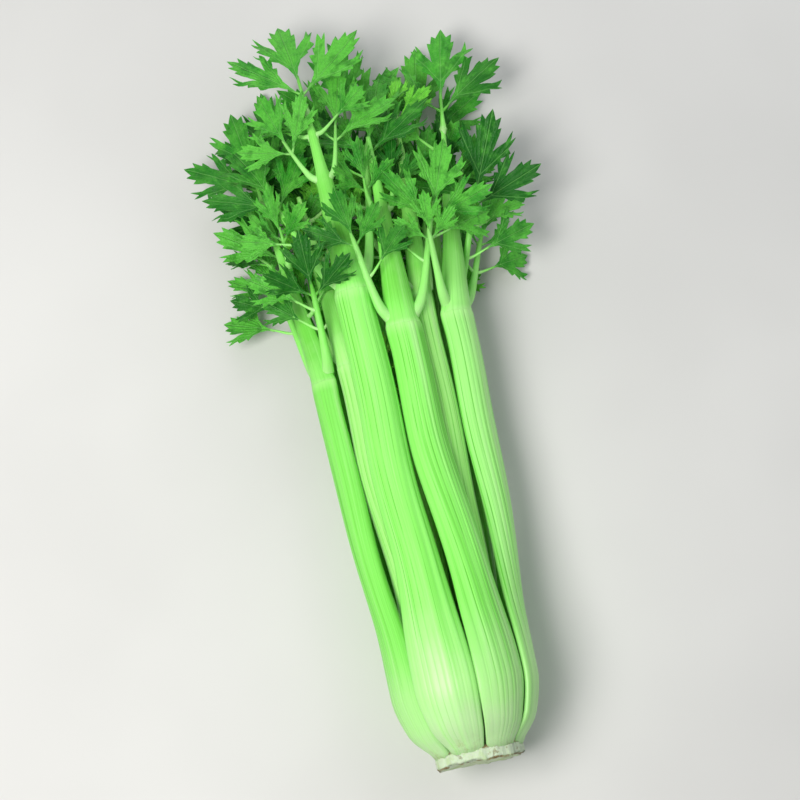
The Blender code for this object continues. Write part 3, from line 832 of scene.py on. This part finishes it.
def make_leaflet(rng):
    """A flat, three-lobed, toothed leaflet 1 long: its points, its triangles and the loop of its edge."""
    def one_side(sign):
        scale = sign * rng.uniform(0.86, 1.08)
        return [(scale * x * rng.uniform(0.93, 1.07), y + rng.uniform(-0.008, 0.008))
                for x, y in LEAFLET_SIDE]

    corners = [(0.0, 0.0)] + one_side(1) + [(0.0, 1.0)] + one_side(-1)[::-1]
    outline = []
    for (ax, ay), (bx, by) in zip(corners, corners[1:] + corners[:1]):
        for k in range(EDGE_STEPS):
            t = k / EDGE_STEPS
            bulge = EDGE_BULGE * t * (1 - t)
            outline.append((ax + (bx - ax) * t + (by - ay) * bulge, ay + (by - ay) * t - (bx - ax) * bulge))
    outline = np.array(outline)
    rows = np.arange(0.04, 1.0, MESH_STEP * 0.87)
    grid = np.array([(side * (k + 0.5 * (r % 2)) * MESH_STEP, y)
                     for r, y in enumerate(rows) for k in range(7) for side in (-1, 1) if k + r % 2])
    grid = grid[inside_by(grid, outline, EDGE_MARGIN)]
    midrib = [(0.0, y) for y in np.arange(0.05, 0.98, 0.05)]
    count = len(outline)
    spine = [0, *range(count, count + len(midrib)), EDGE_STEPS * (len(LEAFLET_SIDE) + 1)]
    points = [Vector(p) for p in (*outline, *midrib, *grid)]
    found = delaunay_2d_cdt(points, list(zip(spine, spine[1:])), [list(range(count))], 1, 1e-6)
    new_place = {i: k for k, sources in enumerate(found[3]) for i in sources}
    faces = [tuple(face) for face in found[2]]
    return np.array([tuple(p) for p in found[0]]), faces, [new_place[i] for i in range(count)]


LEAFLETS = [make_leaflet(random.Random(40 + kind)) for kind in range(LEAFLET_KINDS)]


def fine_leaflet(blade, place, rng, tone):
    """A thin leaflet with a fold, a waved edge and what its veins follow, and the point of its root."""
    turn, root_reach, length, breadth = place
    flat, flat_faces, edge = LEAFLETS[rng.randrange(LEAFLET_KINDS)]
    x, y = flat.T
    length = length * rng.uniform(0.94, 1.02)
    breadth = breadth * rng.uniform(0.92, 1.06)
    heading = math.radians(turn + rng.uniform(-4, 4))
    beside, ahead = x * breadth * length, y * length
    u = (root_reach + ahead) * math.sin(heading) + beside * math.cos(heading)
    v = (root_reach + ahead) * math.cos(heading) - beside * math.sin(heading)
    phase, ruffle = rng.uniform(0, 6.28), rng.uniform(0.014, 0.030)
    outward = np.minimum(1, np.abs(x) / 0.35)
    wave = ruffle * outward ** 1.5 * np.sin(21 * y + phase + 2 * np.sign(x))
    pucker = 0.010 * np.abs(np.sin(13 * (y - 0.8 * np.abs(x)))) * (1 - outward)
    own = rng.uniform(-0.13, 0.13) * beside
    own = own + rng.uniform(-0.08, 0.03) * ahead ** 2 * min(1, blade.droop * 12)
    lift = -blade.droop * v * v + blade.cup * u * u + blade.twist * u * v
    lift = lift + blade.fold * np.abs(beside) + wave + pucker + own
    u, v, lift = u[:, None], v[:, None], lift[:, None]
    side = np.cross(blade.ahead, blade.face)
    sheet = blade.root + blade.length * (u * side + v * blade.ahead + lift * blade.face)
    half, below = blade.face * SHEET_THICKNESS / 2, len(sheet)
    points = np.concatenate([sheet + half, sheet - half])
    points[:, 2] = np.maximum(points[:, 2], LOWEST_POINT)
    faces = flat_faces + [tuple(below + i for i in reversed(face)) for face in flat_faces]
    faces += [(b, a, below + a, below + b) for a, b in zip(edge, edge[1:] + edge[:1])]
    marks = {
        "across": np.tile(x, 2),
        "along": np.tile(y, 2),
        "under": np.repeat([0.0, 1.0], below),
        "tone": np.full(len(points), tone),
    }
    return Surface(points, faces, marks), sheet[edge[0]]


def fine_blade(blade, places, rng):
    """The leaflets of a blade, and the short stems that they stand on."""
    leaflets, stems = [], []
    tone = rng.random()
    lower = blade.face * 0.0006
    for place in places:
        own_tone = min(1.0, max(0.0, tone + rng.uniform(-0.35, 0.35)))
        leaflet, root = fine_leaflet(blade, place, rng, own_tone)
        leaflets.append(leaflet)
        end = root + unit(root - blade.root) * 0.10 * blade.length
        path = [blade.root - lower, (blade.root + root) / 2 - lower, end - lower]
        stems.append(fine_tube(path, [0.0011, 0.0009, 0.0004], 3, (1.4, 1.5), own_tone))
    return leaflets, stems


def fine_crown():
    """The cut stem's plate and its steps, with a slightly uneven rim."""
    profile = [(CUT_RADIUS * k / 9, 0.0) for k in range(1, 9)]
    profile += [(CUT_RADIUS - CUT_BEVEL * 0.4, 0.0002), (CUT_RADIUS, CUT_BEVEL * 0.6)]
    profile += [(CUT_RADIUS + 0.0002, 0.0016 * k) for k in range(1, 6)]
    profile += [(CUT_RADIUS - 0.0012, 0.0098), OUTER_STEP, (OUTER_STEP[0], INNER_STEP[1])]
    profile += [INNER_STEP, (INNER_STEP[0], HEART_STEP[1]), HEART_STEP]
    round_axis = [across_up(360 * i / CROWN_SIDES) for i in range(CROWN_SIDES)]
    rings = [[(radius * x, station, radius * z) for x, z in round_axis] for radius, station in profile]
    crown = skin(np.array(rings), [(0.0, 0.0, 0.0), (0.0, HEART_STEP[1] + BUD_HEIGHT, 0.0)], {})
    points = crown.points
    x, z = points[:, 0].copy(), points[:, 2].copy()
    turn, radius = np.arctan2(z, x), np.hypot(x, z)
    rim = np.clip((radius / CUT_RADIUS - 0.8) * 5, 0, 1) * (points[:, 1] < 0.009)
    uneven = 0.0005 * np.sin(7 * turn + 1) + 0.0004 * np.sin(17 * turn) + 0.0003 * np.sin(41 * turn + 2)
    grown = 1 + rim * uneven / CUT_RADIUS
    points[:, 0], points[:, 2] = x * grown, AXIS_HEIGHT + z * grown
    torn = 0.0006 * np.cos(3 * turn) + 0.0005 * np.sin(11 * turn + 1) + 0.0003 * np.sin(29 * turn)
    points[:, 1] += np.where(points[:, 1] < 0.0012, torn * (radius / CUT_RADIUS) ** 3 + 0.0004, 0)
    crown.marks.update(across=turn / math.pi, along=points[:, 1] / 0.01, radius=radius / CUT_RADIUS)
    return crown


def show(name, surface, finish, node, slot_name, sharp=None):
    """Makes a surface a smooth object in place of its CAD node."""
    mesh = bpy.data.meshes.new(name)
    mesh.from_pydata((surface.points + HEAD_PLACE).tolist(), [], surface.faces)
    for mark, values in surface.marks.items():
        layer = mesh.attributes.new(mark, "FLOAT", "POINT")
        layer.data.foreach_set("value", np.asarray(values, float))
    mesh.materials.append(finish)
    mesh.shade_smooth()
    if sharp:
        mesh.set_sharp_from_angle(angle=math.radians(sharp))
    made = bpy.data.objects.new(name, mesh)
    bpy.context.scene.collection.objects.link(made)
    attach(made, "root")
    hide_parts(node)


# Finishes

class Finish:
    """A material's node graph, built up by short calls that take sockets or plain values."""

    def __init__(self, name):
        self.material = bpy.data.materials.new(name)
        self.material.use_nodes = True
        self.tree = self.material.node_tree
        self.shader = self.tree.nodes["Principled BSDF"]
        self.colour = None

    def plug(self, socket, value):
        if isinstance(value, bpy.types.NodeSocket):
            self.tree.links.new(value, socket)
        elif isinstance(value, tuple) and len(value) == 3 and socket.type == "RGBA":
            socket.default_value = (*value, 1.0)
        else:
            socket.default_value = value

    def node(self, kind, inputs=None, **settings):
        """A new node; inputs has what goes into its sockets, by their names or numbers."""
        node = self.tree.nodes.new(kind)
        for name, value in settings.items():
            setattr(node, name, value)
        for key, value in (inputs or {}).items():
            self.plug(node.inputs[key], value)
        return node

    def sum(self, operation, *values):
        return self.node("ShaderNodeMath", dict(enumerate(values)), operation=operation).outputs[0]

    def times(self, *values):
        product = values[0]
        for value in values[1:]:
            product = self.sum("MULTIPLY", product, value)
        return product

    def mark(self, name):
        return self.node("ShaderNodeAttribute", attribute_name=name).outputs["Fac"]

    def place(self):
        return self.node("ShaderNodeTexCoord").outputs["Object"]

    def vector(self, x, y, z):
        return self.node("ShaderNodeCombineXYZ", {0: x, 1: y, 2: z}).outputs[0]

    def own_place(self, *scales):
        """A place on the piece that its bends don't change, stretched by a scale each way."""
        marks = [self.mark(name) for name in ("across", "along", "tone")]
        return self.vector(*(self.times(mark, scale) for mark, scale in zip(marks, scales)))

    def noise(self, vector, scale, detail=3.0, rough=0.5):
        inputs = {"Vector": vector, "Scale": scale, "Detail": detail, "Roughness": rough}
        return self.node("ShaderNodeTexNoise", inputs).outputs["Fac"]

    def ragged(self, value, scale, amount, detail=3.0):
        """value, moved by noise by up to half an amount either way."""
        noise = self.noise(self.place(), scale, detail)
        return self.sum("ADD", value, self.sum("MULTIPLY_ADD", noise, amount, -amount / 2))

    def cells(self, vector, scale):
        return self.node("ShaderNodeTexVoronoi", {"Vector": vector, "Scale": scale}).outputs["Distance"]

    def band(self, value, low, high, out_low=0.0, out_high=1.0):
        """value from low to high, spread smoothly over out_low to out_high."""
        inputs = {"Value": value, "From Min": low, "From Max": high, "To Min": out_low, "To Max": out_high}
        return self.node("ShaderNodeMapRange", inputs, interpolation_type="SMOOTHSTEP").outputs[0]

    def mix(self, share, first, second):
        return self.node("ShaderNodeMix", {0: share, 6: first, 7: second}, data_type="RGBA").outputs[2]

    def coat(self, colour, *shares):
        """Lays a colour over what is there, by the product of some shares."""
        self.colour = self.mix(self.times(*shares), self.colour, colour)

    def ramp(self, value, *stops):
        node = self.node("ShaderNodeValToRGB", {0: value})
        node.color_ramp.interpolation = "EASE"
        while len(node.color_ramp.elements) < len(stops):
            node.color_ramp.elements.new(0.5)
        for element, (position, colour) in zip(node.color_ramp.elements, stops):
            element.position, element.color = position, (*colour, 1.0)
        return node.outputs[0]

    def bump(self, height, distance, strength):
        inputs = {"Strength": strength, "Distance": distance, "Height": height}
        self.plug(self.shader.inputs["Normal"], self.node("ShaderNodeBump", inputs).outputs[0])

    def body(self, roughness, soft=0.0, reach=0.003, tint=(0.5, 0.9, 0.25), gloss=0.5):
        values = {"Base Color": self.colour, "Roughness": roughness, "Metallic": 0.0, "IOR": 1.4,
                  "Specular IOR Level": gloss, "Subsurface Weight": soft, "Subsurface Scale": reach,
                  "Subsurface Radius": tint}
        for name, value in values.items():
            self.plug(self.shader.inputs[name], value)
        return self.material


def stalk_finish(name, cream, pale, green, deep):
    """Fleshy stalk: cream at the foot, greener towards the joint, with thin dark lines between its ribs, and
    painted shade that darkens it towards both edges.
    """
    f = Finish(name)
    across, along, hollow, tone, line = map(f.mark, ("across", "along", "hollow", "tone", "line"))
    spot, grown = f.place(), f.band(along, 0.02, 0.40, 0.25, 1.0)
    f.colour = f.ramp(f.ragged(along, 22.0, 0.22), (0.02, cream), (0.14, pale), (0.36, green), (1.0, green))
    f.coat(pale, f.band(tone, 0.70, 1.0), 0.75)
    f.coat(deep, f.band(tone, 0.40, 0.05), grown, 0.45)
    broad = f.noise(f.own_place(2.6, 0.8, 9.0), 1.0, 2.0)
    f.coat(pale, f.band(broad, 0.50, 0.70), 0.90)
    f.coat(deep, f.band(broad, 0.48, 0.28), grown, 0.70)
    fibre = f.noise(f.own_place(24.0, 2.2, 7.0), 1.0, 4.0, 0.6)
    f.coat(deep, f.band(fibre, 0.50, 0.74), grown, 0.55)
    f.coat(pale, f.band(fibre, 0.46, 0.26), 0.40)
    fade = f.band(f.noise(f.own_place(3.0, 9.0, 1.0), 1.0, 2.0), 0.35, 0.6, 0.35, 1.0)
    f.coat(deep, f.band(line, 0.0, 0.55), fade, grown, 0.90)
    # Painted shade: darker towards both edges of each stalk, where its back turns away from the light and
    # meets the next stalk.
    f.coat(deep, f.band(f.sum("ABSOLUTE", across), 0.72, 1.0), grown, 0.35)
    f.coat(pale, hollow, 0.45)
    f.coat((0.52, 0.95, 0.34), f.band(f.ragged(along, 130.0, 0.012), 0.9700, 1.0020), 0.40)
    speck = f.band(f.cells(f.own_place(9.0, 60.0, 1.0), 1.0), 0.10, 0.03)
    f.coat((0.22, 0.26, 0.03), speck, f.band(f.noise(spot, 38.0, 2.0), 0.54, 0.66), 0.40)
    soil = f.times(f.band(along, 0.060, 0.025), f.band(f.noise(spot, 90.0, 5.0, 0.7), 0.50, 0.68))
    f.coat((0.26, 0.19, 0.05), soil, 0.50)
    f.bump(f.sum("ADD", f.times(fibre, 0.6), f.times(f.noise(spot, 900.0, 2.0), 0.10)), 0.0005, 0.45)
    return f.body(f.band(fibre, 0.3, 0.8, 0.30, 0.42), 0.12)


def leaf_stem_finish(name, pale, green, deep):
    """Leaf stems: a pale ring and pale branch roots at the joint, plain green further on, with fine lines."""
    f = Finish(name)
    along, branch, tone, line = map(f.mark, ("along", "branch", "tone", "line"))
    beyond = f.sum("SUBTRACT", f.ragged(along, 130.0, 0.012), 1.0)
    f.colour = f.ramp(beyond, (0.0, (0.40, 0.90, 0.25)), (0.014, green), (0.09, (0.19, 0.68, 0.08)),
                      (0.5, green))
    f.coat(pale, f.band(tone, 0.70, 1.0), f.band(along, 1.25, 1.0), 0.75)
    f.coat(deep, f.band(tone, 0.40, 0.05), 0.40)
    side = f.ramp(f.sum("SUBTRACT", along, 1.0), (0.02, (0.60, 0.94, 0.42)), (0.08, pale), (0.28, green),
                  (0.5, deep))
    f.coat(side, branch)
    fibre = f.noise(f.own_place(14.0, 4.0, 7.0), 1.0, 4.0, 0.6)
    f.coat(deep, f.band(fibre, 0.48, 0.75), 0.40)
    f.coat(pale, f.band(fibre, 0.46, 0.28), 0.35)
    f.coat(deep, f.band(line, 0.05, 0.9), 0.45)
    f.coat(pale, tone, branch, 0.40)
    f.coat(pale, f.band(f.noise(f.place(), 60.0), 0.45, 0.75), 0.20)
    f.bump(fibre, 0.0004, 0.40)
    return f.body(f.band(fibre, 0.3, 0.8, 0.32, 0.46), 0.10, 0.002)


def blade_finish(name, bright, green, dark, vein):
    """Leaflets: mottled green, paler below, with a pale midrib and side veins that run to the teeth."""
    f = Finish(name)
    across, along, under, tone = map(f.mark, ("across", "along", "under", "tone"))
    spot, beside = f.place(), f.sum("ABSOLUTE", across)
    mottle = f.noise(spot, 60.0, 4.0, 0.6)
    f.colour = f.mix(f.band(mottle, 0.35, 0.65), green, bright)
    f.coat(dark, f.band(tone, 0.60, 0.0), 0.92)
    f.coat(bright, f.band(tone, 0.62, 1.0), 0.85)
    patch = f.noise(f.own_place(3.0, 3.0, 40.0), 1.6, 3.0, 0.6)
    f.coat(dark, f.band(patch, 0.50, 0.30), 0.55)
    f.coat(bright, f.band(patch, 0.52, 0.75), 0.50)
    midrib = f.band(beside, 0.014, 0.004)
    lobe_line = f.sum("ABSOLUTE", f.sum("SUBTRACT", f.sum("SUBTRACT", along, 0.20), f.times(beside, 1.04)))
    lobe_vein = f.times(f.band(lobe_line, 0.020, 0.005), f.band(beside, 0.50, 0.36))
    fan = f.sum("DIVIDE", beside, f.sum("MAXIMUM", f.sum("SUBTRACT", along, 0.06), 0.05))
    beat = f.sum("PINGPONG", f.sum("ADD", fan, f.times(f.noise(spot, 160.0, 2.0), 0.09)), 0.075)
    side_vein = f.times(f.band(beat, 0.014, 0.002), f.band(along, 0.12, 0.35))
    veins = f.sum("MAXIMUM", f.sum("MAXIMUM", midrib, f.times(lobe_vein, 0.8)), f.times(side_vein, 0.34))
    valley = f.times(f.band(beat, 0.030, 0.075), f.band(along, 0.15, 0.4))
    net = f.band(f.cells(spot, 700.0), 0.35, 0.75)
    f.coat(dark, net, 0.16)
    f.coat(dark, valley, 0.08)
    f.coat(vein, veins, 0.34)
    f.coat(vein, f.band(along, 0.16, 0.0), 0.55)
    f.coat(vein, under, 0.40)
    f.coat(bright, f.band(f.noise(spot, 70.0, 2.0), 0.60, 0.74), 0.30)
    relief = f.sum("SUBTRACT", f.times(valley, 0.35), f.times(veins, 0.8))
    f.bump(f.sum("ADD", f.sum("ADD", relief, f.times(net, 0.25)), f.times(mottle, 1.6)), 0.0007, 0.85)
    return f.body(f.band(mottle, 0.3, 0.7, 0.36, 0.52), 0.08, 0.002, (0.4, 1.0, 0.15), 0.30)


def crown_finish():
    """Cut flesh: cream, with growth rings and dark vessels on the cut, and brown scars round its edge."""
    f = Finish("crown_flesh")
    radius, depth, spot = f.mark("radius"), f.mark("along"), f.place()
    f.colour = f.ramp(f.ragged(radius, 90.0, 0.16, 4.0), (0.10, (0.58, 0.70, 0.38)),
                      (0.45, (0.62, 0.76, 0.46)), (0.62, (0.44, 0.58, 0.22)), (0.78, (0.58, 0.72, 0.44)),
                      (0.97, (0.58, 0.70, 0.50)))
    vessel = f.times(f.band(f.cells(spot, 260.0), 0.22, 0.08), f.band(f.noise(spot, 60.0), 0.45, 0.6))
    f.coat((0.26, 0.22, 0.07), vessel, 0.5)
    rough = f.noise(spot, 120.0, 6.0, 0.7)
    f.coat((0.42, 0.60, 0.24), f.band(rough, 0.52, 0.40), 0.45)
    rim = f.band(radius, 0.90, 0.99)
    edges = f.sum("MAXIMUM", f.band(depth, 0.22, 0.05), f.band(depth, 0.64, 0.94))
    torn = f.sum("ADD", rough, f.sum("MULTIPLY_ADD", edges, 0.25, -0.03))
    scar = f.times(f.band(torn, 0.58, 0.70), rim)
    f.coat((0.30, 0.19, 0.045), scar, 0.80)
    f.coat((0.08, 0.05, 0.012), f.band(torn, 0.68, 0.80), rim, 0.80)
    f.bump(f.sum("ADD", f.noise(spot, 420.0, 5.0, 0.7), f.times(scar, -0.8)), 0.0012, 0.8)
    return f.body(f.band(depth, 0.0, 0.5, 0.48, 0.58), 0.12)


# The head

# For each whorl: the slots of its stalks and its leaves, the stalks' cream, pale, green and deep green,
# and the leaflets' bright green, green, dark green and vein colour.
LOOKS = {
    "outer": (
        "stalk_green", "leaf_green",
        ((0.49, 0.74, 0.37), (0.43, 0.82, 0.29), (0.27, 0.84, 0.14), (0.09, 0.48, 0.02)),
        ((0.12, 0.54, 0.055), (0.032, 0.30, 0.018), (0.004, 0.105, 0.005), (0.22, 0.60, 0.15)),
    ),
    "inner": (
        "stalk_pale", "leaf_light",
        ((0.54, 0.78, 0.40), (0.52, 0.86, 0.36), (0.38, 0.86, 0.21), (0.15, 0.60, 0.05)),
        ((0.18, 0.67, 0.05), (0.065, 0.42, 0.022), (0.010, 0.17, 0.005), (0.34, 0.76, 0.18)),
    ),
    "heart": (
        "stalk_heart", "leaf_heart",
        ((0.64, 0.84, 0.44), (0.68, 0.92, 0.44), (0.52, 0.88, 0.24), (0.28, 0.70, 0.10)),
        ((0.46, 0.86, 0.13), (0.27, 0.70, 0.07), (0.11, 0.44, 0.03), (0.60, 0.90, 0.30)),
    ),
}
LEAFLET_CREASE = 50


def stalk_surface(stalk, form, phase, tone):
    foot = foot_of(stalk) - FOOT_SINK
    steps = round((stalk.joint - foot) / STALK_STEP)
    stations = [foot + (stalk.joint - foot) * k / steps for k in range(steps - 1)]
    stations += [stalk.joint - d for d in (*NEAR_JOINT, 0.0)]
    return fine_stem(stalk, stations, form, phase, tone)


def leaf_surfaces(stalk, form, phase, tone, large, small, rng):
    """A leaf's stems and its leaflets, each as a list of surfaces."""
    reach = RINGS[stalk.ring].rachis
    steps = round(reach / RACHIS_STEP)
    stations = [stalk.joint + d for d in (0.0, *NEAR_JOINT[::-1])]
    further = [stalk.joint + reach * k / steps for k in range(1, steps + 1)]
    stations += [station for station in further if station > stations[-1] + 0.001]
    stems, leaflets = [fine_stem(stalk, stations, form, phase, tone)], []
    for branch, places in [(b, THREE_LEAFLETS) for b in large] + [(b, ONE_LEAFLET) for b in small]:
        stems.append(fine_branch(stalk, branch, rng.random()))
        found, short_stems = fine_blade(branch.blade, places, rng)
        leaflets += found
        stems += short_stems
    return stems, leaflets


def build_head():
    skins = {}
    for ring, (stalk_slot, leaf_slot, fleshy, leafy) in LOOKS.items():
        stem_skin = leaf_stem_finish(leaf_slot + "_stem", *fleshy[1:])
        skins[ring] = stalk_finish(stalk_slot, *fleshy), stem_skin, blade_finish(leaf_slot + "_blade", *leafy)
    show("crown_skin", fine_crown(), crown_finish(), "crown", "crown_flesh")
    large, small = lay_out_leaves()
    for stalk in STALKS:
        rng = random.Random(100 + stalk.number)
        phase, tone = rng.uniform(0, 6.28), rng.random()
        form = stalk_form(FINE_RIBS[stalk.ring], rng)
        stalk_skin, stem_skin, blade_skin = skins[stalk.ring]
        stalk_slot, leaf_slot = LOOKS[stalk.ring][:2]
        node, leaf = f"stalk_{stalk.number:02d}", f"leaf_{stalk.number:02d}"
        show(f"{node}_skin", stalk_surface(stalk, form, phase, tone), stalk_skin, node, stalk_slot)
        branches = large[stalk.number], small[stalk.number]
        stems, leaflets = leaf_surfaces(stalk, form, phase, tone, *branches, rng)
        show(f"{leaf}_stems", joined(stems), stem_skin, leaf, leaf_slot)
        if leaflets:
            show(f"{leaf}_blades", joined(leaflets), blade_skin, leaf, leaf_slot, LEAFLET_CREASE)


# The studio

# Each light's place, size, power and colour. All of them aim at the middle of the table.
LIGHTS = {
    "key": ((-0.55, -0.25, 1.1), 0.6, 14.8, (1.0, 0.98, 0.94)),
    "fill": ((0.9, 0.3, 0.8), 1.0, 3.0, (0.94, 0.97, 1.0)),
    "back": ((0.1, 1.2, 0.7), 0.8, 3.8, (1.0, 1.0, 1.0)),
}
CAMERA_RISE = 76
CAMERA_TURN = 11.5
CAMERA_DISTANCE = 1.25
CAMERA_AIM = (-0.007, -0.017, 0.03)
SKY_COLOUR = (0.95, 0.98, 1.0, 1.0)
SKY_STRENGTH = 0.285


def add_floor():
    f = Finish("floor")
    shade = f.band(f.noise(f.place(), 3.0, 3.0), 0.3, 0.7, 0.60, 0.66)
    f.colour = f.vector(shade, shade, f.times(shade, 0.985))
    bpy.ops.mesh.primitive_plane_add(size=6.0, location=(0, 0, -0.0002))
    floor = bpy.context.object
    floor.name = "floor"
    floor.data.materials.append(f.body(0.75))


def place_facing(name, data, place, facing):
    """Adds a light or a camera that looks along a direction."""
    made = bpy.data.objects.new(name, data)
    made.location = place
    made.rotation_euler = facing.to_track_quat("-Z", "Y").to_euler()
    bpy.context.scene.collection.objects.link(made)
    return made


def add_lights():
    for name, (place, size, power, colour) in LIGHTS.items():
        light = bpy.data.lights.new(name, "AREA")
        light.energy, light.size, light.color = power, size, colour
        place_facing(name, light, place, -Vector(place))
    world = bpy.data.worlds.new("studio")
    world.use_nodes = True
    sky = world.node_tree.nodes["Background"]
    sky.inputs["Color"].default_value = SKY_COLOUR
    sky.inputs["Strength"].default_value = SKY_STRENGTH
    bpy.context.scene.world = world


def add_camera():
    """From the foot's side, nearly straight down, turned so that the head leans left as in the photo."""
    rise, turn = math.radians(CAMERA_RISE), math.radians(CAMERA_TURN)
    away = Vector((-math.sin(turn) * math.cos(rise), -math.cos(turn) * math.cos(rise), math.sin(rise)))
    camera = bpy.data.cameras.new("camera")
    camera.sensor_width, camera.lens = 36.0, 82.0
    place = Vector(CAMERA_AIM) + away * CAMERA_DISTANCE
    bpy.context.scene.camera = place_facing("camera", camera, place, -away)


build_head()
add_floor()
add_lights()
add_camera()
bpy.context.scene.view_settings.view_transform = "Standard"
